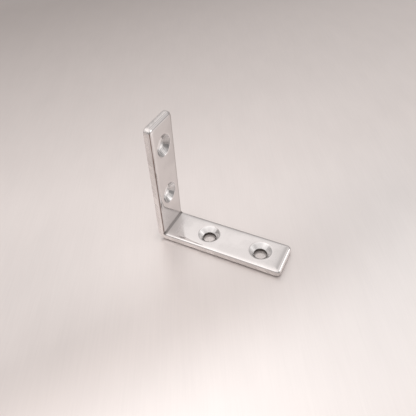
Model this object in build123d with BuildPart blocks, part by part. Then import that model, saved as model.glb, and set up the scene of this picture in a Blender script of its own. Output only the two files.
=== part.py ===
from build123d import *
import os

# Narrow angle bracket: one steel strip, stamped out flat, countersunk and bent square.
# It lies on one leg and the other leg stands up. The countersinks face the inside of the angle.
# X runs along the lying leg to its free end, Y across the strip and Z up the standing leg.
# The origin is the middle of the footprint, on the surface that the bracket lies on.
# All sizes are in millimetres.

# Strip and bend
lying_leg_length = 40.0
standing_leg_length = 40.0
strip_width = 11.5
strip_thickness = 2.3
bend_inside_radius = 0.5

# Outline corners, the rolled edge on the countersunk side and the eased edge on the back
end_corner_radius = 1.2
rolled_edge_radius = 0.85
eased_edge_radius = 0.4

# Screw holes, a row of two in each leg, for a countersunk wood screw of 3.5 mm
holes_per_leg = 2
hole_spacing = 17.0
hole_to_leg_end = 8.0
hole_diameter = 3.8
hole_back_rim_radius = 0.2
countersink_diameter = 6.7
countersink_angle = 90.0
countersink_mouth_radius = 0.5

# The strip keeps its thickness round the bend, so both bend radii share one centre.
bend_outside_radius = bend_inside_radius + strip_thickness

# The flat backs of the legs point at a sharp corner on the ground, which the bend rounds off.
corner_x = -lying_leg_length / 2
free_end_x = corner_x + lying_leg_length

# Each row of holes is set out from the free end of its leg.
hole_row_length = (holes_per_leg - 1) * hole_spacing
lying_row_x = free_end_x - hole_to_leg_end - hole_row_length / 2
standing_row_z = standing_leg_length - hole_to_leg_end - hole_row_length / 2

# One plane on the countersunk side of each leg, in the middle of its row, with its X along the leg
lying_row = Plane(origin=(lying_row_x, 0, strip_thickness), x_dir=(1, 0, 0), z_dir=(0, 0, 1))
standing_row = Plane(
    origin=(corner_x + strip_thickness, 0, standing_row_z), x_dir=(0, 0, 1), z_dir=(1, 0, 0)
)

# The two broad sides of the strip, in the order in which their faces sort from the corner outwards
BACK = 0
COUNTERSUNK = 1


def broad_side(part: Part, side: int) -> ShapeList:
    """The level face, the upright face and the bend face on one broad side of the strip."""
    level_face = part.faces().filter_by(Axis.Z).sort_by(Axis.Z)[side]
    upright_face = part.faces().filter_by(Axis.X).sort_by(Axis.X)[side]
    round_faces = part.faces().filter_by(GeomType.CYLINDER)
    bend_faces = round_faces.filter_by(lambda face: face.axis_of_rotation.is_parallel(Axis.Y))
    bend_face = bend_faces.sort_by(SortBy.RADIUS, reverse=True)[side]
    return ShapeList([level_face, upright_face, bend_face])


def outline(faces: ShapeList) -> ShapeList:
    """The edges round a run of joined faces: no hole rims, and no edges that two of the faces share."""
    edges = faces.edges().filter_by(lambda edge: not edge.is_closed)
    return edges.filter_by(lambda edge: sum(edge.is_same(other) for other in edges) == 1)


def hole_rims(faces: ShapeList) -> ShapeList:
    """The closed rims of the holes in a run of faces."""
    return faces.edges().filter_by(lambda edge: edge.is_closed)


with BuildPart() as angle_bracket:
    # Side view of the bent strip: its back line, thickened towards the inside of the angle
    with BuildSketch(Plane.XZ):
        with BuildLine():
            FilletPolyline(
                (corner_x, standing_leg_length),
                (corner_x, 0),
                (free_end_x, 0),
                radius=bend_outside_radius,
            )
            offset(amount=strip_thickness, side=Side.LEFT)
        make_face()
    extrude(amount=strip_width / 2, both=True)

    # Two rounded corners at the free end of each leg
    lying_corners = angle_bracket.edges().filter_by(Axis.Z).group_by(Axis.X)[-1]
    standing_corners = angle_bracket.edges().filter_by(Axis.X).group_by(Axis.Z)[-1]
    fillet(lying_corners + standing_corners, radius=end_corner_radius)

    # Countersunk screw holes
    with Locations(lying_row, standing_row):
        with GridLocations(hole_spacing, 0, holes_per_leg, 1):
            CounterSinkHole(
                radius=hole_diameter / 2,
                counter_sink_radius=countersink_diameter / 2,
                counter_sink_angle=countersink_angle,
            )

    # On the countersunk side the edge rolls over, in one run round both legs and through the bend,
    # and the mouths of the countersinks are softened with it.
    fillet(outline(broad_side(angle_bracket.part, COUNTERSUNK)), radius=rolled_edge_radius)
    fillet(hole_rims(broad_side(angle_bracket.part, COUNTERSUNK)), radius=countersink_mouth_radius)

    # On the back the outline and the hole rims are only eased.
    fillet(outline(broad_side(angle_bracket.part, BACK)), radius=eased_edge_radius)
    fillet(hole_rims(broad_side(angle_bracket.part, BACK)), radius=hole_back_rim_radius)

angle_bracket.part.label = "angle_bracket"
os.makedirs("parts", exist_ok=True)
export_step(angle_bracket.part, "parts/angle_bracket.step")
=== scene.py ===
"""Narrow angle bracket: one plated steel strip, bent square, lying on a plain pale floor.

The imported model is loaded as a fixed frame. The bracket is then modelled as a finer mesh, with its soft
rolled edge, softened countersinks and sheared sides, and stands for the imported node. It is made as the real
strip is: a flat leg is cut, rolled over at its outline and countersunk, and the strip is bent square.
Lengths are in metres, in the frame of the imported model.
"""

import logging
import math
from dataclasses import dataclass, field
from enum import Enum
from itertools import product
from typing import Callable, ClassVar, Iterable, NamedTuple

import bmesh
import bpy
from mathutils import Euler, Matrix, Vector


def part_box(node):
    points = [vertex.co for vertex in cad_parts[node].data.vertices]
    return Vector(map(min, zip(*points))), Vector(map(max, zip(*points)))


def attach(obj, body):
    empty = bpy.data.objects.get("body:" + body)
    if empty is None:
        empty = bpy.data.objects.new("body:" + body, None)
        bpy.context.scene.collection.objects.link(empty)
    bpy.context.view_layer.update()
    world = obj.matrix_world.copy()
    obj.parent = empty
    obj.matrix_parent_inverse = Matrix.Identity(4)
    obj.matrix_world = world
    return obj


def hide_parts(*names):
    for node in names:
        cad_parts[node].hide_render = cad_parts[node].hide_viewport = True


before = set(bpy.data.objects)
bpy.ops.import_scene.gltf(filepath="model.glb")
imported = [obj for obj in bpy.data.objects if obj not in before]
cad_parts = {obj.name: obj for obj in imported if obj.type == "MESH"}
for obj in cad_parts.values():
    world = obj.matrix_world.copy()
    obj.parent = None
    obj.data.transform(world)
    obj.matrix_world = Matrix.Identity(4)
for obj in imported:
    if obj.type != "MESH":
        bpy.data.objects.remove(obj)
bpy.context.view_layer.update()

MM = 0.001

logging.basicConfig(level=logging.INFO, format="%(message)s")
log = logging.getLogger("angle_bracket")


class Surface(Enum):
    """The kinds of surface under the plating, in the order of the bracket's material slots."""

    ROLLED = 0
    SHEARED = 1
    TURNED = 2
    # the standing leg's countersinks: real cutter grooves, with a darker tone that is painted shade
    GROOVED = 3
    # the lying leg's bore walls, painted dark as shade
    PUNCHED = 4


# Edit-mode work


class Pick(Enum):
    """What is picked in edit mode, by the name of its select mode."""

    VERTICES = "VERT"
    EDGES = "EDGE"
    FACES = "FACE"


@dataclass
class Bench:
    """One mesh in edit mode, whose vertices, edges and faces are picked by their place."""

    piece: bpy.types.Object

    def __enter__(self) -> "Bench":
        """Put the piece alone into edit mode, with nothing selected.

        Returns:
            The bench itself.
        """
        bpy.ops.object.select_all(action="DESELECT")
        self.piece.select_set(True)
        bpy.context.view_layer.objects.active = self.piece
        bpy.ops.object.mode_set(mode="EDIT")
        self.open_for(Pick.VERTICES)
        return self

    def __exit__(self, *_: object) -> None:
        """Go back to object mode."""
        bpy.ops.object.mode_set(mode="OBJECT")

    def open_for(self, pick: Pick) -> bmesh.types.BMesh:
        """Open the mesh with nothing selected.

        Args:
            pick: what will be picked.

        Returns:
            The mesh as it is edited.
        """
        bpy.ops.mesh.select_mode(type=pick.value)
        bpy.ops.mesh.select_all(action="DESELECT")
        return bmesh.from_edit_mesh(self.piece.data)

    def close(self, mesh: bmesh.types.BMesh) -> None:
        """Hand a mesh back with what has been selected in it."""
        mesh.select_flush_mode()
        bmesh.update_edit_mesh(self.piece.data)

    def pick_all(self) -> None:
        """Select the whole mesh."""
        bpy.ops.mesh.select_all(action="SELECT")

    def pick_vertices(self, test: Callable[[Vector], bool]) -> None:
        """Select the vertices whose place passes a test.

        Args:
            test: says of a place whether its vertex is wanted.
        """
        mesh = self.open_for(Pick.VERTICES)
        for vertex in mesh.verts:
            vertex.select_set(test(vertex.co))
        self.close(mesh)

    def pick_open_edges(self, test: Callable[[Vector], bool]) -> None:
        """Select the edges that have a single face beside them and two ends that pass a test.

        Args:
            test: says of the place of an edge's end whether it is wanted.
        """
        mesh = self.open_for(Pick.EDGES)
        for edge in mesh.edges:
            edge.select_set(edge.is_boundary and all(test(vertex.co) for vertex in edge.verts))
        self.close(mesh)

    def pick_faces(self, test: Callable[[Vector, Vector], bool]) -> None:
        """Select the faces whose middle and normal pass a test.

        Args:
            test: says of a face's middle and normal whether the face is wanted.
        """
        mesh = self.open_for(Pick.FACES)
        mesh.normal_update()
        for face in mesh.faces:
            face.select_set(test(face.calc_center_median(), face.normal))
        self.close(mesh)

    def mean_reach(self, centre: Vector) -> float:
        """How far the selected vertices are from an upright line.

        Args:
            centre: a place on the line.

        Returns:
            The mean of their distances.
        """
        mesh = bmesh.from_edit_mesh(self.piece.data)
        reaches = [(v.co.xy - centre.xy).length for v in mesh.verts if v.select]
        return sum(reaches) / len(reaches)

    def cut(self, place: Vector, normal: Vector) -> None:
        """Cut the whole mesh through along a plane."""
        self.pick_all()
        bpy.ops.mesh.bisect(plane_co=place, plane_no=normal)


# The strip


class CageLine(NamedTuple):
    """One line of the cage: how far it lies inside an outline or a rim, and how far below the face."""

    inset: float
    fall: float


def cage_lines(*lines: tuple[float, float]) -> tuple[CageLine, ...]:
    """Cage lines, from the outside inwards, from insets and falls in millimetres."""
    return tuple(CageLine(inset * MM, fall * MM) for inset, fall in lines)


@dataclass
class FlatLeg:
    """One leg of the strip, flat, from the start of the bend to its free end, countersunk side up.

    It is a coarse cage for a subdivision surface, so a line of the cage is a line that the surface follows.
    TOUCH is how near a place counts as on a line, and LEVEL how upright the normal of a level face is.
    """

    start_x: float
    end_x: float
    width: float
    thickness: float
    hole_xs: tuple[float, ...]
    hole_radius: float = 1.9 * MM
    mouth_radius: float = 3.35 * MM
    collar: float = 4.0 * MM
    side_roll: tuple[CageLine, ...] = cage_lines((0.0, 0.73), (0.205, 0.285), (0.70, 0.10), (1.25, 0.03))
    end_roll: tuple[CageLine, ...] = cage_lines((0.0, 0.92), (0.33, 0.47), (0.88, 0.15), (1.38, 0.045))
    mouth_roll: tuple[CageLine, ...] = cage_lines((-0.30, 0.0), (-0.06, 0.01), (0.18, 0.20), (0.75, 0.75))
    back_rim: tuple[CageLine, ...] = cage_lines((-0.40, 0.0), (-0.10, 0.02), (0.0, 0.14))
    throat_rise: float = 0.12 * MM
    throat_fall: float = 0.04 * MM
    bend_lines: tuple[float, ...] = (1.0 * MM, 4.2 * MM)
    end_roll_start: float = 1.9 * MM
    eased_rises: tuple[float, float] = (0.20 * MM, 0.04 * MM)
    wall_line: float = 0.83 * MM
    merge_distance: float = 0.01 * MM
    piece: bpy.types.Object | None = field(default=None, init=False)

    SPOKES_PER_SIDE: ClassVar[int] = 6
    TOUCH: ClassVar[float] = 1e-6
    LEVEL: ClassVar[float] = 0.9

    def build(self) -> bpy.types.Object:
        """Model the leg.

        Returns:
            The leg's cage, open where the bend starts.
        """
        self.lay_block()
        with Bench(self.piece) as bench:
            self.cut_lines(bench)
            self.ease_back(bench)
            self.roll_straights(bench)
            for side in (-1, 1):
                self.round_corner(bench, side)
            for hole_x in self.hole_xs:
                self.countersink(bench, Vector((hole_x, 0.0, 0.0)))
            self.open_bend_end(bench)
        return self.piece

    def lay_block(self) -> None:
        """Lay down a plain block of the leg's size."""
        bpy.ops.object.select_all(action="DESELECT")
        bpy.ops.mesh.primitive_cube_add(size=1.0)
        self.piece = bpy.context.active_object
        self.piece.name = "plated_angle_bracket"
        self.piece.scale = (self.end_x - self.start_x, self.width, self.thickness)
        self.piece.location = ((self.start_x + self.end_x) / 2, 0.0, self.thickness / 2)
        bpy.ops.object.transform_apply(location=True, rotation=True, scale=True)

    def spoke_offsets(self) -> list[float]:
        """Where the cage lines round a hole lie from its middle, so that they meet it at even angles."""
        numbers = range(-(self.SPOKES_PER_SIDE // 2), self.SPOKES_PER_SIDE // 2 + 1)
        return [self.collar * math.tan(math.pi / 2 / self.SPOKES_PER_SIDE * n) for n in numbers]

    @staticmethod
    def inner_insets(roll: tuple[CageLine, ...]) -> list[float]:
        """The insets of the lines of a roll that lie inside the outline."""
        return [line.inset for line in roll[1:]]

    def cut_lines(self, bench: Bench) -> None:
        """Cut the block along every line of the cage.

        Args:
            bench: the leg in edit mode.
        """
        along = [*(self.start_x + offset for offset in self.bend_lines), sum(self.hole_xs) / 2]
        along += [self.end_x - inset for inset in (self.end_roll_start, *self.inner_insets(self.end_roll))]
        for hole_x in self.hole_xs:
            along += [hole_x + offset for offset in self.spoke_offsets()]
        across = self.spoke_offsets()
        for inset in self.inner_insets(self.side_roll):
            across += [inset - self.width / 2, self.width / 2 - inset]
        for x in along:
            bench.cut(Vector((x, 0.0, 0.0)), Vector((1.0, 0.0, 0.0)))
        for y in across:
            bench.cut(Vector((0.0, y, 0.0)), Vector((0.0, 1.0, 0.0)))
        bench.cut(Vector((0.0, 0.0, self.wall_line)), Vector((0.0, 0.0, 1.0)))

    def ease_back(self, bench: Bench) -> None:
        """Ease the outline on the back.

        Args:
            bench: the leg in edit mode.
        """
        outer_rise, inner_rise = self.eased_rises
        for line, rise in ((1, inner_rise), (0, outer_rise)):
            side_y = self.width / 2 - self.side_roll[line].inset
            end_x = self.end_x - self.end_roll[line].inset
            bench.pick_vertices(
                lambda p: p.z < inner_rise + self.TOUCH and min(side_y - abs(p.y), end_x - p.x) < self.TOUCH
            )
            bpy.ops.transform.translate(value=(0.0, 0.0, rise))

    def roll_straights(self, bench: Bench) -> None:
        """Roll the straight runs of the outline over on the countersunk side.

        Args:
            bench: the leg in edit mode.
        """
        side_limit = self.width / 2 - self.side_roll[-1].inset - self.TOUCH
        end_limit = self.end_x - self.end_roll[-1].inset - self.TOUCH
        for side_line, end_line in zip(self.side_roll, self.end_roll):
            side_y = self.width / 2 - side_line.inset
            end_x = self.end_x - end_line.inset
            bench.pick_vertices(
                lambda p: self.on_top(p) and abs(side_y - abs(p.y)) < self.TOUCH and p.x < end_limit
            )
            bpy.ops.transform.translate(value=(0.0, 0.0, -side_line.fall))
            bench.pick_vertices(
                lambda p: self.on_top(p) and abs(end_x - p.x) < self.TOUCH and abs(p.y) < side_limit
            )
            bpy.ops.transform.translate(value=(0.0, 0.0, -end_line.fall))

    def on_top(self, place: Vector) -> bool:
        """Whether a place lies on the countersunk side."""
        return place.z > self.thickness - self.TOUCH

    def round_corner(self, bench: Bench, side: int) -> None:
        """Round one plan corner at the free end, and carry the roll round it.

        Args:
            bench: the leg in edit mode.
            side: -1 for the corner at the front, 1 for the one at the back.
        """
        last = len(self.side_roll) - 1
        edge = Vector((self.end_x, side * self.width / 2))
        reach = Vector((self.end_roll[last].inset, side * self.side_roll[last].inset))
        for across, along in product(range(last + 1), repeat=2):
            angle = self.corner_angle(across, along)
            ring = min(across, along)
            start = edge - Vector((self.end_roll[along].inset, side * self.side_roll[across].inset))
            inset = Vector((self.end_roll[ring].inset, side * self.side_roll[ring].inset))
            goal = edge - reach + (reach - inset) * Vector((math.sin(angle), math.cos(angle)))
            fall = self.side_roll[ring].fall * math.cos(angle) ** 2
            fall += self.end_roll[ring].fall * math.sin(angle) ** 2
            bench.pick_vertices(lambda p: self.on_top(p) and (p.xy - start).length < self.TOUCH)
            bpy.ops.transform.translate(value=(0.0, 0.0, -fall))
            bench.pick_vertices(lambda p: (p.xy - start).length < self.TOUCH)
            bpy.ops.transform.translate(value=(goal.x - start.x, goal.y - start.y, 0.0))

    def corner_angle(self, across: int, along: int) -> float:
        """How far round a plan corner two cage lines meet, from 0 at the side to a quarter turn at the end.

        Args:
            across: the number of the line that runs along the side, from the outline inwards.
            along: the number of the line that runs along the end.

        Returns:
            The angle in radians.
        """
        last = len(self.side_roll) - 1
        if across == along:
            return math.pi / 4
        if across < along:
            return math.pi / 4 * (last - along) / (last - across)
        return math.pi / 2 - math.pi / 4 * (last - across) / (last - along)

    def countersink(self, bench: Bench, centre: Vector) -> None:
        """Open one hole with its countersink.

        Args:
            bench: the leg in edit mode.
            centre: the middle of the hole.
        """

        def within(place: Vector, reach: float) -> bool:
            """Whether a place lies in a square round the hole."""
            return abs(place.x - centre.x) < reach and abs(place.y - centre.y) < reach

        bench.pick_faces(lambda middle, normal: abs(normal.z) > self.LEVEL and within(middle, self.collar))
        bpy.ops.mesh.delete(type="FACE")
        cone_floor = self.thickness - (self.mouth_radius - self.hole_radius)
        from_above = [
            (self.mouth_radius - ring.inset, self.thickness - ring.fall) for ring in self.mouth_roll
        ]
        from_above.append((self.hole_radius + self.throat_rise, cone_floor + self.throat_rise))
        from_below = [(self.hole_radius - ring.inset, ring.fall) for ring in self.back_rim]
        from_below.append((self.hole_radius, cone_floor / 2))
        for rim_z, rings in ((self.thickness, from_above), (0.0, from_below)):
            rings.append((self.hole_radius, cone_floor - self.throat_fall))
            bench.pick_open_edges(
                lambda p: abs(p.z - rim_z) < self.TOUCH and within(p, self.collar + self.TOUCH)
            )
            self.draw_rings(bench, centre, rim_z, rings)
        bench.pick_all()
        bpy.ops.mesh.remove_doubles(threshold=self.merge_distance)

    def draw_rings(
        self, bench: Bench, centre: Vector, rim_z: float, rings: Iterable[tuple[float, float]]
    ) -> None:
        """Carry the selected square rim inwards and down the hole, ring by ring.

        Args:
            bench: the leg in edit mode, with the rim selected.
            centre: the middle of the hole.
            rim_z: the height of the rim.
            rings: radius and height of each ring, from the broad side inwards.
        """
        # The smoothed surface runs inside a round cage, so the cage is drawn this much wider.
        step = math.pi / 2 / self.SPOKES_PER_SIDE
        cage_swell = 3 / (2 + math.cos(step))
        level = rim_z
        for number, (radius, height) in enumerate(rings):
            bpy.ops.mesh.extrude_region_move(
                TRANSFORM_OT_translate={"value": (0.0, 0.0, height - level)}
            )
            level = height
            middle = Vector((centre.x, centre.y, level))
            if number == 0:
                bpy.ops.transform.tosphere(value=1.0, center_override=middle)
            scale = radius * cage_swell / bench.mean_reach(centre)
            bpy.ops.transform.resize(value=(scale, scale, 1.0), center_override=middle)

    def open_bend_end(self, bench: Bench) -> None:
        """Take away the cut face where the bend starts."""
        bench.pick_faces(lambda middle, normal: abs(middle.x - self.start_x) < self.TOUCH)
        bpy.ops.mesh.delete(type="FACE")


@dataclass
class AngleBracket:
    """The whole bracket: two equal legs and the bend between them."""

    node: str = "angle_bracket"
    bend_inside_radius: float = 0.5 * MM
    strip_thickness: float = 2.3 * MM
    hole_to_leg_end: float = 8.0 * MM
    hole_spacing: float = 17.0 * MM
    bend_steps: int = 8
    smoothing_levels: int = 2
    merge_distance: float = 0.005 * MM
    throat_margin: float = 0.07 * MM
    mouth_depth: float = 0.03 * MM
    eased_height: float = 0.2 * MM
    sheared_share: float = 0.6
    corner: Vector = field(init=False)
    bend_middle: Vector = field(init=False)
    hole_xs: tuple[float, float] = field(init=False)
    piece: bpy.types.Object | None = field(default=None, init=False)

    def build(self) -> bpy.types.Object:
        """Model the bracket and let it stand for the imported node.

        Returns:
            The finished piece.
        """
        low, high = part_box(self.node)
        bend_outside_radius = self.bend_inside_radius + self.strip_thickness
        self.corner = Vector((low.x, 0.0, low.z))
        self.bend_middle = self.corner + Vector((bend_outside_radius, 0.0, bend_outside_radius))
        last_hole_x = high.x - self.hole_to_leg_end
        self.hole_xs = (last_hole_x - self.hole_spacing, last_hole_x)
        leg = FlatLeg(
            start_x=self.bend_middle.x,
            end_x=high.x,
            width=high.y - low.y,
            thickness=self.strip_thickness,
            hole_xs=self.hole_xs,
        )
        self.piece = leg.build()
        self.bend_strip()
        self.smooth()
        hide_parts(self.node)
        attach(self.piece, "root")
        return self.piece

    def bend_strip(self) -> None:
        """Spin the bend off the lying leg and set the standing leg on it."""
        bpy.ops.object.select_all(action="DESELECT")
        self.piece.select_set(True)
        bpy.context.view_layer.objects.active = self.piece
        bpy.ops.object.duplicate()
        standing = bpy.context.active_object
        half_turn = Matrix.Rotation(math.pi, 4, Vector((1.0, 0.0, 1.0)))
        to_corner = Matrix.Translation(self.corner)
        standing.matrix_world = to_corner @ half_turn @ to_corner.inverted()
        bpy.ops.object.transform_apply(location=True, rotation=True, scale=True)
        with Bench(self.piece) as bench:
            bench.pick_open_edges(lambda p: abs(p.x - self.bend_middle.x) < FlatLeg.TOUCH)
            bpy.ops.mesh.spin(
                steps=self.bend_steps,
                angle=-math.pi / 2,
                center=self.bend_middle,
                axis=(0.0, 1.0, 0.0),
            )
        standing.select_set(True)
        bpy.ops.object.join()
        with Bench(self.piece) as bench:
            bench.pick_all()
            bpy.ops.mesh.remove_doubles(threshold=self.merge_distance)
            bpy.ops.mesh.normals_make_consistent(inside=False)

    def smooth(self) -> None:
        """Turn the cage into the smooth surface that it stands for."""
        surface = self.piece.modifiers.new("smooth_surface", "SUBSURF")
        surface.levels = self.smoothing_levels
        surface.render_levels = self.smoothing_levels
        bpy.ops.object.modifier_apply(modifier=surface.name)
        bpy.ops.object.shade_smooth()

    def surface_at(self, middle: Vector) -> Surface:
        """Which kind of surface a face belongs to.

        Args:
            middle: the middle of the face.

        Returns:
            The kind of surface.
        """
        lying = middle.x > self.bend_middle.x
        along = middle.x if lying else middle.z + self.corner.x
        rise = middle.z if lying else middle.x - self.corner.x
        if not lying and middle.z < self.bend_middle.z:
            from_middle = math.hypot(middle.x - self.bend_middle.x, middle.z - self.bend_middle.z)
            rise = self.bend_inside_radius + self.strip_thickness - from_middle
        hole_reach = min(math.hypot(along - hole_x, middle.y) for hole_x in self.hole_xs)
        # The lying leg's bore walls get painted shade; the standing leg's bore walls get the turned finish.
        if hole_reach < FlatLeg.hole_radius + self.throat_margin:
            return Surface.PUNCHED if lying else Surface.TURNED
        # The standing leg's countersinks take a darker copy of the turned finish: cutter grooves plus painted
        # shade.
        if hole_reach < FlatLeg.mouth_radius and rise > self.mouth_depth:
            return Surface.TURNED if lying else Surface.GROOVED
        if self.eased_height < rise < self.sheared_share * self.strip_thickness:
            return Surface.SHEARED
        return Surface.ROLLED

    def dress(self, effects: "Effects") -> None:
        """Give each face the plating that its surface has.

        Args:
            effects: the shared surface effects.
        """
        self.piece.data.materials.clear()
        for surface in Surface:
            self.piece.data.materials.append(FINISHES[surface].build(effects))
        for face in self.piece.data.polygons:
            face.material_index = self.surface_at(face.center).value


# Node work


Socket = bpy.types.NodeSocket
Value = Socket | float
Triple = tuple[float, float, float]


def by_name(sockets: Iterable[Socket]) -> dict[str, Socket]:
    """Sockets by their names."""
    return {socket.name: socket for socket in sockets}


class NodeSheet:
    """A node tree that is being wired, with one method for each kind of node that it needs."""

    def __init__(self, tree: bpy.types.NodeTree) -> None:
        """Start on a node tree."""
        self.tree = tree

    def add(
        self, kind: str, inputs: dict[str | int, object] | None = None, **settings: object
    ) -> bpy.types.Node:
        """Add one node.

        Args:
            kind: the node's type in Blender.
            inputs: what its inputs are fed with, by their names or numbers.
            settings: properties that are set on it.

        Returns:
            The new node.
        """
        node = self.tree.nodes.new(kind)
        for name, value in settings.items():
            setattr(node, name, value)
        for name, value in (inputs or {}).items():
            self.feed(node.inputs[name], value)
        return node

    def feed(self, socket: Socket, value: object) -> None:
        """Give a socket what it needs.

        Args:
            socket: the input socket.
            value: another socket to link to it, or a plain value.
        """
        if isinstance(value, Socket):
            self.tree.links.new(value, socket)
        else:
            socket.default_value = value

    def math(self, operation: str, *values: Value) -> Socket:
        """The result of an operation on one, two or three values."""
        return self.add("ShaderNodeMath", dict(enumerate(values)), operation=operation).outputs["Value"]

    def minus(self, first: Value, second: Value) -> Socket:
        """The first value less the second."""
        return self.math("SUBTRACT", first, second)

    def times(self, first: Value, *others: Value) -> Socket:
        """The product of two or more values.

        Args:
            first: the first value.
            others: the values that it is multiplied by, one after the other.

        Returns:
            The product.
        """
        for other in others:
            first = self.math("MULTIPLY", first, other)
        return first

    def add_share(self, value: Value, share: Value, total: Value) -> Socket:
        """A total with a share of a value added to it."""
        return self.math("MULTIPLY_ADD", value, share, total)

    def wave(self, phase: Socket) -> Socket:
        """A wave from 0 to 1 that follows a phase in radians."""
        return self.add_share(self.math("SINE", phase), 0.5, 0.5)

    def length(self, x: Socket, y: Socket) -> Socket:
        """The length of a line from its two parts."""
        return self.math("SQRT", self.add_share(x, x, self.times(y, y)))

    def dot(self, vector: Socket, direction: Iterable[float]) -> Socket:
        """How far a vector reaches in a fixed direction."""
        inputs = {0: vector, 1: tuple(direction)}
        return self.add("ShaderNodeVectorMath", inputs, operation="DOT_PRODUCT").outputs["Value"]

    def split(self, vector: Socket) -> tuple[Socket, ...]:
        """The three parts of a vector."""
        return tuple(self.add("ShaderNodeSeparateXYZ", {"Vector": vector}).outputs)

    def join(self, *parts: Value) -> Socket:
        """A vector from its three parts."""
        return self.add("ShaderNodeCombineXYZ", dict(enumerate(parts))).outputs["Vector"]

    def turn(self, vector: Socket, angles: Triple, stretch: Triple) -> Socket:
        """A vector turned by angles round the axes and then stretched along them."""
        inputs = {"Vector": vector, "Rotation": angles, "Scale": stretch}
        return self.add("ShaderNodeMapping", inputs, vector_type="TEXTURE").outputs["Vector"]

    def grade(self, value: Value, start: Value, end: Value, low: Value = 0.0, high: Value = 1.0) -> Socket:
        """A level that eases from low to high as a value goes from start to end."""
        inputs = {"Value": value, "From Min": start, "From Max": end, "To Min": low, "To Max": high}
        return self.add("ShaderNodeMapRange", inputs, interpolation_type="SMOOTHSTEP").outputs["Result"]

    def noise(self, vector: Socket, scale: Value, detail: float) -> Socket:
        """Smooth noise from 0 to 1."""
        inputs = {"Vector": vector, "Scale": scale, "Detail": detail}
        return self.add("ShaderNodeTexNoise", inputs).outputs["Fac"]

    def tint(self, share: Value, first: Socket | Triple, second: Socket | Triple) -> Socket:
        """Go from one colour to another.

        Args:
            share: how much there is of the second one.
            first: the first colour.
            second: the second colour.

        Returns:
            The colour.
        """
        node = self.add("ShaderNodeMix", {"Factor": share}, data_type="RGBA")
        sockets = [socket for socket in node.inputs if socket.type == "RGBA"]
        for socket, colour in zip(sockets, (first, second)):
            self.feed(socket, (*colour, 1.0) if isinstance(colour, tuple) else colour)
        return next(socket for socket in node.outputs if socket.type == "RGBA")

    def place(self) -> Socket:
        """The place on the piece, in metres."""
        return self.add("ShaderNodeTexCoord").outputs["Object"]

    def use(self, effect: bpy.types.NodeTree, **values: object) -> dict[str, Socket]:
        """What an effect puts out, from values given by the names of its inputs, with _ for spaces."""
        inputs = {name.replace("_", " ").title(): value for name, value in values.items()}
        return by_name(self.add("ShaderNodeGroup", inputs, node_tree=effect).outputs)


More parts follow.
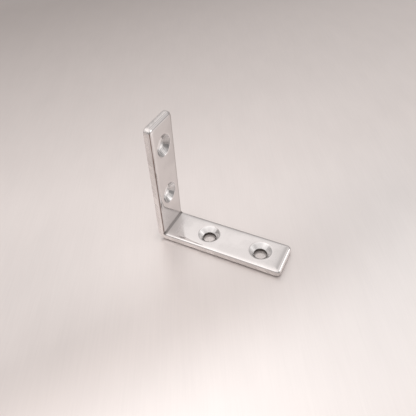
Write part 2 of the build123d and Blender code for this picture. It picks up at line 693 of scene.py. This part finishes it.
class Effects:
    """The surface effects that the finishes share, each a node group that is built once."""

    def __init__(self) -> None:
        """Build every effect."""
        self.groups: dict[str, bpy.types.NodeTree] = {}
        self.build_haze()
        self.build_ripple()
        self.build_hairlines()
        self.build_rubbed_edge()
        self.build_shear_lines()
        self.build_turned_rings()
        self.build_crease()
        self.build_edge_reflection_lines()

    def start(
        self, name: str, inputs: dict[str, float], outputs: tuple[str, ...] = ("Mask",)
    ) -> tuple[NodeSheet, dict[str, Socket], dict[str, Socket]]:
        """Start a node group that reads a place on the piece, and keep it under its name.

        Args:
            name: the group's name.
            inputs: its value inputs and their usual values.
            outputs: its value outputs.

        Returns:
            The sheet to wire the group on, what the group is given and what it puts out.
        """
        tree = bpy.data.node_groups.new(name, "ShaderNodeTree")
        self.groups[name] = tree
        tree.interface.new_socket(name="Place", in_out="INPUT", socket_type="NodeSocketVector")
        for label, usual in inputs.items():
            socket = tree.interface.new_socket(name=label, in_out="INPUT", socket_type="NodeSocketFloat")
            socket.default_value = usual
        for label in outputs:
            tree.interface.new_socket(name=label, in_out="OUTPUT", socket_type="NodeSocketFloat")
        sheet = NodeSheet(tree)
        given = by_name(sheet.add("NodeGroupInput").outputs)
        return sheet, given, by_name(sheet.add("NodeGroupOutput").inputs)

    def build_haze(self) -> None:
        """Cloudy patches, as handling and rinsing leave on bright plating."""
        sheet, given, result = self.start("haze", {"Scale": 150.0})
        cloud = sheet.noise(given["Place"], given["Scale"], detail=3.0)
        sheet.feed(result["Mask"], sheet.grade(cloud, start=0.35, end=0.65))

    def build_ripple(self) -> None:
        """The slow waviness of pressed strip under thin plating."""
        usual = {"Scale": 400.0, "Depth": 0.003, "Fineness": 4.0, "Fine Share": 0.2}
        sheet, given, result = self.start("ripple", usual, ("Height",))
        slow = sheet.noise(given["Place"], given["Scale"], detail=1.0)
        fine = sheet.noise(given["Place"], sheet.times(given["Scale"], given["Fineness"]), detail=1.0)
        both = sheet.add_share(fine, given["Fine Share"], slow)
        sheet.feed(result["Height"], sheet.times(both, given["Depth"]))

    def build_hairlines(self) -> None:
        """Short hairline marks in several directions, from parts that tumble together."""
        usual = {"Scale": 900.0, "Threshold": 0.75, "Softness": 0.06}
        sheet, given, result = self.start("hairlines", usual)
        full = sheet.math("ADD", given["Threshold"], given["Softness"])
        marks = 0.0
        for angles in ((0.3, 0.5, 0.4), (0.9, -0.6, 1.5), (-0.5, 1.1, 2.6)):
            lines = sheet.turn(given["Place"], angles, stretch=(12.0, 1.0, 1.0))
            streaks = sheet.noise(lines, given["Scale"], detail=1.0)
            marks = sheet.math("MAXIMUM", sheet.grade(streaks, given["Threshold"], full), marks)
        sheet.feed(result["Mask"], marks)

    def build_rubbed_edge(self) -> None:
        """Where the outline has been rubbed brighter, unevenly along its length."""
        usual = {"Half Width": 5.75 * MM, "Reach": 20.0 * MM, "Spread": 1.1 * MM, "Scale": 700.0}
        sheet, given, result = self.start("rubbed_edge", usual)
        x, y, z = sheet.split(given["Place"])
        along = sheet.math("MAXIMUM", x, sheet.minus(z, given["Reach"]))
        from_side = sheet.minus(given["Half Width"], sheet.math("ABSOLUTE", y))
        inset = sheet.math("MINIMUM", sheet.minus(given["Reach"], along), from_side)
        uneven = sheet.noise(given["Place"], given["Scale"], detail=2.0)
        spread = sheet.times(given["Spread"], sheet.math("ADD", uneven, 0.5))
        sheet.feed(result["Mask"], sheet.grade(inset, start=spread, end=0.0))

    def build_shear_lines(self) -> None:
        """Slanting drag lines that the shearing tool leaves across the strip's thickness."""
        usual = {"Scale": 2600.0, "Slant": 0.9, "Crossing": 0.05}
        sheet, given, result = self.start("shear_lines", usual)
        x, y, z = sheet.split(given["Place"])
        slant = sheet.add_share(y, given["Slant"], sheet.math("ADD", x, z))
        lines = sheet.join(slant, sheet.times(y, given["Crossing"]), sheet.times(z, given["Crossing"]))
        streaks = sheet.noise(lines, given["Scale"], detail=3.0)
        sheet.feed(result["Mask"], sheet.grade(streaks, start=0.38, end=0.62))

    def build_turned_rings(self) -> None:
        """Cutter marks round a screw hole: fine rings, and faint flats where the cutter chattered."""
        usual = {
            "Half Spacing": 8.5 * MM, "Lying Hole": -5.0 * MM, "Standing Hole": 15.0 * MM,
            "Standing Start": 4.0 * MM, "Ring Pitch": 0.15 * MM, "Ring Drift": 6.0,
            "Flat Count": 19.0, "Flat Drift": 5.0, "Drift Scale": 250.0,
        }
        sheet, given, result = self.start("turned_rings", usual, ("Rings", "Flats"))
        x, y, z = sheet.split(given["Place"])
        half = given["Half Spacing"]
        opposite = sheet.times(half, -1.0)
        in_lying = sheet.math("WRAP", sheet.minus(x, given["Lying Hole"]), half, opposite)
        in_standing = sheet.math("WRAP", sheet.minus(z, given["Standing Hole"]), half, opposite)
        standing = sheet.math("GREATER_THAN", z, given["Standing Start"])
        along = sheet.add_share(standing, sheet.minus(in_standing, in_lying), in_lying)
        drift = sheet.noise(given["Place"], given["Drift Scale"], detail=1.0)
        turns = sheet.math("DIVIDE", sheet.length(along, y), given["Ring Pitch"])
        ring_phase = sheet.add_share(turns, 2.0 * math.pi, sheet.times(drift, given["Ring Drift"]))
        angle = sheet.math("ARCTAN2", y, along)
        flat_phase = sheet.add_share(angle, given["Flat Count"], sheet.times(drift, given["Flat Drift"]))
        sheet.feed(result["Rings"], sheet.wave(ring_phase))
        sheet.feed(result["Flats"], sheet.wave(flat_phase))

    def build_crease(self) -> None:
        """Painted shade along the inside of the bend, and the rougher recess round it."""
        usual = {
            "Corner X": -17.7 * MM, "Corner Z": 2.3 * MM, "Spread": 0.7 * MM, "Core": 0.2 * MM,
            "Recess": 7.0 * MM, "Recess Core": 1.0 * MM, "Standing Share": 0.35,
        }
        sheet, given, result = self.start("crease", usual, ("Mask", "Recess"))
        x, _, z = sheet.split(given["Place"])
        out = sheet.minus(x, given["Corner X"])
        up = sheet.minus(z, given["Corner Z"])
        reach = sheet.length(out, up)
        inside = sheet.grade(sheet.math("MINIMUM", out, up), start=-1.0 * MM, end=-0.3 * MM)
        lying = sheet.grade(
            sheet.minus(out, up), start=-0.5 * MM, end=0.5 * MM, low=given["Standing Share"]
        )
        recess = sheet.grade(reach, start=given["Recess"], end=given["Recess Core"])
        sheet.feed(result["Mask"], sheet.grade(reach, start=given["Spread"], end=given["Core"]))
        sheet.feed(result["Recess"], sheet.times(recess, lying, inside))

    def build_edge_reflection_lines(self) -> None:
        """Thin brownish lines down the edges of the standing leg: painted dark reflections of the
        surroundings in the rolled edges.
        """
        usual = {
            "Face X": -17.7 * MM, "Half Width": 5.75 * MM, "Spread": 0.37 * MM,
            "Front Line": 0.08 * MM, "Back Line": -0.55 * MM, "Scale": 500.0,
        }
        sheet, given, result = self.start("edge_reflection_lines", usual)
        x, y, z = sheet.split(given["Place"])
        out = sheet.minus(given["Face X"], x)
        from_side = sheet.minus(given["Half Width"], sheet.math("ABSOLUTE", y))
        middle = sheet.grade(y, start=-1.0 * MM, end=MM, low=given["Front Line"], high=given["Back Line"])
        off_line = sheet.math("ABSOLUTE", sheet.minus(sheet.minus(out, from_side), middle))
        waver = sheet.noise(given["Place"], given["Scale"], detail=2.0)
        spread = sheet.times(given["Spread"], sheet.math("ADD", waver, 0.5))
        line = sheet.grade(off_line, start=spread, end=0.0)
        near = sheet.grade(sheet.math("ADD", out, from_side), start=1.3 * MM, end=0.9 * MM)
        above_bend = sheet.grade(z, start=2.0 * MM, end=3.5 * MM)
        below_end = sheet.grade(z, start=39.3 * MM, end=38.6 * MM)
        sheet.feed(result["Mask"], sheet.times(line, near, above_bend, below_end))


# Finishes


def new_material(name: str) -> tuple[bpy.types.Material, NodeSheet, dict[str, Socket]]:
    """Start a material.

    Args:
        name: the material's name.

    Returns:
        The material, the sheet to wire it on and the inputs of its shader.
    """
    material = bpy.data.materials.new(name)
    material.use_nodes = True
    shader = material.node_tree.nodes["Principled BSDF"]
    return material, NodeSheet(material.node_tree), by_name(shader.inputs)


@dataclass(frozen=True)
class Plating:
    """Bright plating over one kind of surface.

    Its dullness adds up from haze and marks. It moves the colour from pale to dull and adds roughness.
    """

    name: str
    pale: Triple
    dull: Triple
    polish: float
    haziness: float
    # painted shade colour for the inside of the bend
    crease_shade_colour: Triple = (0.24, 0.222, 0.215)
    # colour of the painted dark reflection lines along the standing leg's edges
    edge_reflection_colour: Triple = (0.16, 0.105, 0.085)
    ripple_depth: float = 0.003
    hairline_depth: float = 0.0006
    hairline_dullness: float = 0.5
    shear_depth: float = 0.0
    shear_dullness: float = 1.0
    ring_depth: float = 0.0
    ring_pitch: float = 0.15 * MM
    ring_dullness: float = 0.3
    flat_depth: float = 0.0
    rubbed_dullness: float = -0.4
    # how much the painted shade in the bend adds to dullness
    crease_shade_dullness: float = 3.0
    full_dullness: float = 1.5
    recess_haziness: float = 0.26
    least_roughness: float = 0.04

    def build(self, effects: Effects) -> bpy.types.Material:
        """Make the material.

        Args:
            effects: the shared surface effects.

        Returns:
            The finished material.
        """
        material, sheet, shader = new_material(self.name)
        groups = effects.groups
        place = sheet.place()
        height, dullness = self.work_surface(sheet, groups, place)
        bend = sheet.use(groups["crease"], place=place)
        rubbed = sheet.use(groups["rubbed_edge"], place=place)["Mask"]
        edge_reflection = sheet.use(groups["edge_reflection_lines"], place=place)["Mask"]
        dullness = sheet.add_share(rubbed, self.rubbed_dullness, dullness)
        # Painted shade darkens the inside of the bend, through dullness and its own colour.
        dullness = sheet.add_share(bend["Mask"], self.crease_shade_dullness, dullness)
        colour = sheet.tint(sheet.grade(dullness, 0.0, self.full_dullness), self.pale, self.dull)
        colour = sheet.tint(bend["Mask"], colour, self.crease_shade_colour)
        roughness = sheet.add_share(dullness, self.haziness, self.polish)
        roughness = sheet.add_share(bend["Recess"], self.recess_haziness, roughness)
        # Painted dark reflections along the standing leg's edges.
        sheet.feed(shader["Base Color"], sheet.tint(edge_reflection, colour, self.edge_reflection_colour))
        sheet.feed(shader["Roughness"], sheet.math("MAXIMUM", roughness, self.least_roughness))
        shader["Metallic"].default_value = 1.0
        bump = sheet.add("ShaderNodeBump")
        bump.inputs["Distance"].default_value = MM
        sheet.feed(bump.inputs["Height"], height)
        sheet.feed(shader["Normal"], bump.outputs["Normal"])
        return material

    def work_surface(
        self, sheet: NodeSheet, groups: dict[str, bpy.types.NodeTree], place: Socket
    ) -> tuple[Socket, Socket]:
        """Put on the marks that making and handling leave.

        Args:
            sheet: the material's sheet.
            groups: the shared surface effects.
            place: the place on the piece.

        Returns:
            The height of the surface in millimetres, and its dullness.
        """
        haze = sheet.use(groups["haze"], place=place)["Mask"]
        marks = sheet.use(groups["hairlines"], place=place)["Mask"]
        height = sheet.use(groups["ripple"], place=place, depth=self.ripple_depth)["Height"]
        height = sheet.add_share(marks, -self.hairline_depth, height)
        dullness = sheet.add_share(marks, self.hairline_dullness, haze)
        if self.shear_depth:
            lines = sheet.use(groups["shear_lines"], place=place)["Mask"]
            height = sheet.add_share(lines, self.shear_depth, height)
            dullness = sheet.add_share(lines, self.shear_dullness, dullness)
        if self.ring_depth:
            turned = sheet.use(groups["turned_rings"], place=place, ring_pitch=self.ring_pitch)
            height = sheet.add_share(turned["Rings"], self.ring_depth, height)
            height = sheet.add_share(turned["Flats"], self.flat_depth, height)
            dullness = sheet.add_share(turned["Rings"], self.ring_dullness, dullness)
        return height, dullness


FINISHES: dict[Surface, Plating] = {
    Surface.ROLLED: Plating(
        name="bright_plating", pale=(0.74, 0.712, 0.703), dull=(0.67, 0.643, 0.634),
        polish=0.06, haziness=0.03,
    ),
    Surface.SHEARED: Plating(
        name="bright_plating_sheared", pale=(0.79, 0.757, 0.743), dull=(0.64, 0.612, 0.598),
        polish=0.26, haziness=0.08, shear_depth=0.014,
    ),
    Surface.TURNED: Plating(
        name="bright_plating_turned", pale=(0.84, 0.825, 0.82), dull=(0.70, 0.685, 0.68),
        polish=0.28, haziness=0.08, ring_depth=0.0012, flat_depth=0.012,
    ),
    # Cutter grooves, and a darker dull tone that is painted shade on the standing leg's countersinks.
    Surface.GROOVED: Plating(
        name="plating_grooved_painted_shade", pale=(0.84, 0.825, 0.82), dull=(0.46, 0.445, 0.44),
        polish=0.16, haziness=0.08, ring_depth=0.003, ring_pitch=0.30 * MM, ring_dullness=0.6,
        flat_depth=0.006,
    ),
    # Painted shade: the lying leg's bore walls are given a dark colour.
    Surface.PUNCHED: Plating(
        name="bore_painted_shade", pale=(0.17, 0.150, 0.145), dull=(0.09, 0.080, 0.075),
        polish=0.30, haziness=0.10, shear_depth=0.01,
    ),
}


@dataclass(frozen=True)
class FloorFinish:
    """A pale brushed sheet with painted light: a painted fall of light towards the front right and a little
    along it, a painted pool of light at the right, painted shade at the front left and a painted contact
    shadow.
    """

    # A painted fall of light across the floor, with a painted shade band near the bracket.
    painted_light_tones: tuple[tuple[float, float], ...] = (
        (-0.26, 0.46), (-0.165, 0.67), (-0.075, 0.81), (-0.015, 0.89), (0.004, 0.80),
        (0.018, 0.70), (0.030, 0.88), (0.042, 1.0), (0.065, 1.0), (0.16, 0.60),
    )
    tint: Triple = (1.0, 0.90, 0.86)
    tint_fade: float = 1.5
    painted_light_white: Triple = (1.0, 0.975, 0.965)
    black: Triple = (0.0, 0.0, 0.0)
    toward_front_right: Triple = (0.832, -0.555, 0.0)
    toward_back_right: Triple = (0.555, 0.832, 0.0)
    grain_angles: Triple = (0.0, 0.0, 0.50)
    brushed_shade: float = 0.05
    mottled_shade: float = 0.06
    painted_contact_shadow: float = 0.08
    contact_shadow_reach: float = 2.6 * MM
    footprint: tuple[float, float] = (20.0 * MM, 5.75 * MM)
    right_painted_light: float = 0.55
    left_painted_shade: float = 0.14
    roughness: float = 0.34
    metal: float = 0.66

    def build(self) -> bpy.types.Material:
        """Make the material.

        Returns:
            The finished material.
        """
        material, sheet, shader = new_material("pale_floor")
        place = sheet.place()
        across = sheet.dot(place, self.toward_front_right)
        along = sheet.dot(place, self.toward_back_right)
        # A painted pool of light, paler towards the right.
        right = sheet.times(
            sheet.grade(along, start=-20.0 * MM, end=60.0 * MM, high=self.right_painted_light),
            sheet.grade(across, start=-30.0 * MM, end=25.0 * MM),
        )
        # Painted shade towards the front left.
        left = sheet.times(
            sheet.grade(along, start=-15.0 * MM, end=-60.0 * MM, high=self.left_painted_shade),
            sheet.grade(across, start=22.0 * MM, end=6.0 * MM),
            sheet.grade(across, start=-60.0 * MM, end=-10.0 * MM),
        )
        shade = sheet.math("ADD", self.marks(sheet, place), left)
        colour = sheet.tint(right, self.tone(sheet, across), self.painted_light_white)
        sheet.feed(shader["Base Color"], sheet.tint(shade, colour, self.black))
        shader["Roughness"].default_value = self.roughness
        shader["Metallic"].default_value = self.metal
        return material

    def tone(self, sheet: NodeSheet, across: Socket) -> Socket:
        """Work out the floor's painted fall of light, which is warmer where it is darker.

        Args:
            sheet: the floor's sheet.
            across: how far a place lies towards the front right.

        Returns:
            The colour.
        """
        first = self.painted_light_tones[0][0]
        last = self.painted_light_tones[-1][0]
        ramp = sheet.add("ShaderNodeValToRGB")
        ramp.color_ramp.interpolation = "B_SPLINE"
        stops = ramp.color_ramp.elements
        while len(stops) < len(self.painted_light_tones):
            stops.new(0.5)
        for stop, (spot, tone) in zip(stops, self.painted_light_tones):
            stop.position = (spot - first) / (last - first)
            warmth = [1.0 - (1.0 - part) * (self.tint_fade - tone) for part in self.tint]
            stop.color = (*(tone * part for part in warmth), 1.0)
        sheet.feed(ramp.inputs["Fac"], sheet.math("DIVIDE", sheet.minus(across, first), last - first))
        return ramp.outputs["Color"]

    def marks(self, sheet: NodeSheet, place: Socket) -> Socket:
        """Work out the brushed grain, the mottling and a painted contact shadow along the front of the
        bracket.

        Args:
            sheet: the floor's sheet.
            place: the place on the floor.

        Returns:
            How much darker they make the floor.
        """
        grain = sheet.turn(place, self.grain_angles, stretch=(1.0, 30.0, 1.0))
        brushed = sheet.noise(grain, scale=2500.0, detail=2.0)
        patches = sheet.turn(place, self.grain_angles, stretch=(1.0, 2.5, 1.0))
        mottled = sheet.noise(patches, scale=110.0, detail=3.0)
        x, y, _ = sheet.split(place)
        beside, before = (
            sheet.math("MAXIMUM", sheet.minus(sheet.math("ABSOLUTE", part), half), 0.0)
            for part, half in zip((x, y), self.footprint)
        )
        # A painted contact shadow, darkest at the bracket's front foot.
        near = sheet.grade(sheet.length(beside, before), start=self.contact_shadow_reach, end=0.0)
        contact_shadow = sheet.times(near, sheet.grade(y, start=6.0 * MM, end=-3.0 * MM))
        shade = sheet.times(brushed, self.brushed_shade)
        shade = sheet.add_share(contact_shadow, self.painted_contact_shadow, shade)
        return sheet.add_share(mottled, self.mottled_shade, shade)


# Camera, floor and light


@dataclass
class PhotoCamera:
    """The camera at the photograph's viewing angle."""

    place: Triple = (38.974 * MM, -83.470 * MM, 100.890 * MM)
    azimuth: float = 27.782
    elevation: float = 42.888
    roll: float = -2.850
    lens: float = 37.882
    sensor_width: float = 36.0
    nearest: float = 0.001
    farthest: float = 20.0

    def build(self) -> None:
        """Add the camera and make it the scene's camera."""
        bpy.ops.object.camera_add(location=self.place)
        camera = bpy.context.active_object
        camera.name = "photo_camera"
        aim = Euler((math.radians(90.0 - self.elevation), 0.0, math.radians(self.azimuth)))
        roll = Matrix.Rotation(math.radians(self.roll), 3, "Z")
        camera.rotation_euler = (aim.to_matrix() @ roll).to_euler()
        camera.data.lens = self.lens
        camera.data.sensor_width = self.sensor_width
        camera.data.clip_start = self.nearest
        camera.data.clip_end = self.farthest
        bpy.context.scene.camera = camera


@dataclass(frozen=True)
class SoftBox:
    """One soft lamp that faces the bracket."""

    name: str
    toward: Triple
    width: float
    height: float
    radiance: float
    distance: float = 0.45

    def hang(self) -> None:
        """Hang the lamp."""
        direction = Vector(self.toward).normalized()
        bpy.ops.object.light_add(type="AREA", location=direction * self.distance)
        lamp = bpy.context.active_object
        lamp.name = self.name
        lamp.rotation_euler = direction.to_track_quat("Z", "Y").to_euler()
        lamp.data.shape = "RECTANGLE"
        lamp.data.size = self.width
        lamp.data.size_y = self.height
        lamp.data.energy = self.radiance * math.pi * self.width * self.height


@dataclass(frozen=True)
class Glow:
    """A soft-edged round patch of the surrounding light, brighter or darker than the rest."""

    toward: Triple
    inner_angle: float
    outer_angle: float
    strength: float


@dataclass
class Studio:
    """The pale floor, the lamp and the surrounding light."""

    floor_size: float = 2.4
    floor_gap: float = 0.15 * MM
    lamp: SoftBox = SoftBox("lamp_right", (0.784, 0.529, 0.326), 0.16, 0.14, 1.0)
    glows: tuple[Glow, ...] = (
        Glow((0.784, 0.529, 0.326), 9.0, 20.0, 0.44),
        Glow((0.08, 0.63, 0.77), 4.0, 18.0, -0.40),
        Glow((0.86, -0.38, 0.34), 10.0, 22.0, -0.20),
        Glow((0.64, -0.45, 0.62), 10.0, 28.0, 0.20),
        Glow((-0.38, -0.64, 0.67), 12.0, 34.0, 0.38),
        Glow((-0.15, -0.10, 0.97), 10.0, 35.0, 0.22),
    )
    air_tint: Triple = (1.0, 0.965, 0.952)
    horizon_strength: float = 0.47
    overhead_strength: float = 1.14

    def build(self) -> None:
        """Lay the floor, hang the lamp and set the world."""
        self.lay_floor()
        self.lamp.hang()
        self.set_world()
        bpy.context.scene.view_settings.view_transform = "Standard"

    def lay_floor(self) -> None:
        """Lay the floor just under the bracket."""
        bpy.ops.mesh.primitive_plane_add(size=self.floor_size, location=(0.0, 0.0, -self.floor_gap))
        floor = bpy.context.active_object
        floor.name = "floor"
        bpy.ops.object.transform_apply(location=True, rotation=True, scale=True)
        floor.data.materials.append(FloorFinish().build())

    def set_world(self) -> None:
        """Set the surrounding light: grey at the horizon, paler overhead, with soft round patches."""
        world = bpy.data.worlds.new("studio_air")
        bpy.context.scene.world = world
        world.use_nodes = True
        sheet = NodeSheet(world.node_tree)
        background = world.node_tree.nodes["Background"]
        direction = sheet.add("ShaderNodeTexCoord").outputs["Generated"]
        _, _, rise = sheet.split(direction)
        light = sheet.grade(
            rise, start=0.28, end=0.80, low=self.horizon_strength, high=self.overhead_strength
        )
        for glow in self.glows:
            nearness = sheet.dot(direction, Vector(glow.toward).normalized())
            inner = math.cos(math.radians(glow.inner_angle))
            outer = math.cos(math.radians(glow.outer_angle))
            light = sheet.math("ADD", light, sheet.grade(nearness, outer, inner, high=glow.strength))
        background.inputs["Color"].default_value = (*self.air_tint, 1.0)
        sheet.feed(background.inputs["Strength"], light)


def main() -> None:
    """Build the bracket, then the floor, light and camera around it."""
    bracket = AngleBracket()
    bracket.build()
    bracket.dress(Effects())
    log.info("%s: %d faces", bracket.piece.name, len(bracket.piece.data.polygons))
    Studio().build()
    log.info("floor, lamp and surrounding light")
    PhotoCamera().build()
    log.info("camera")


if __name__ == "__main__":
    main()
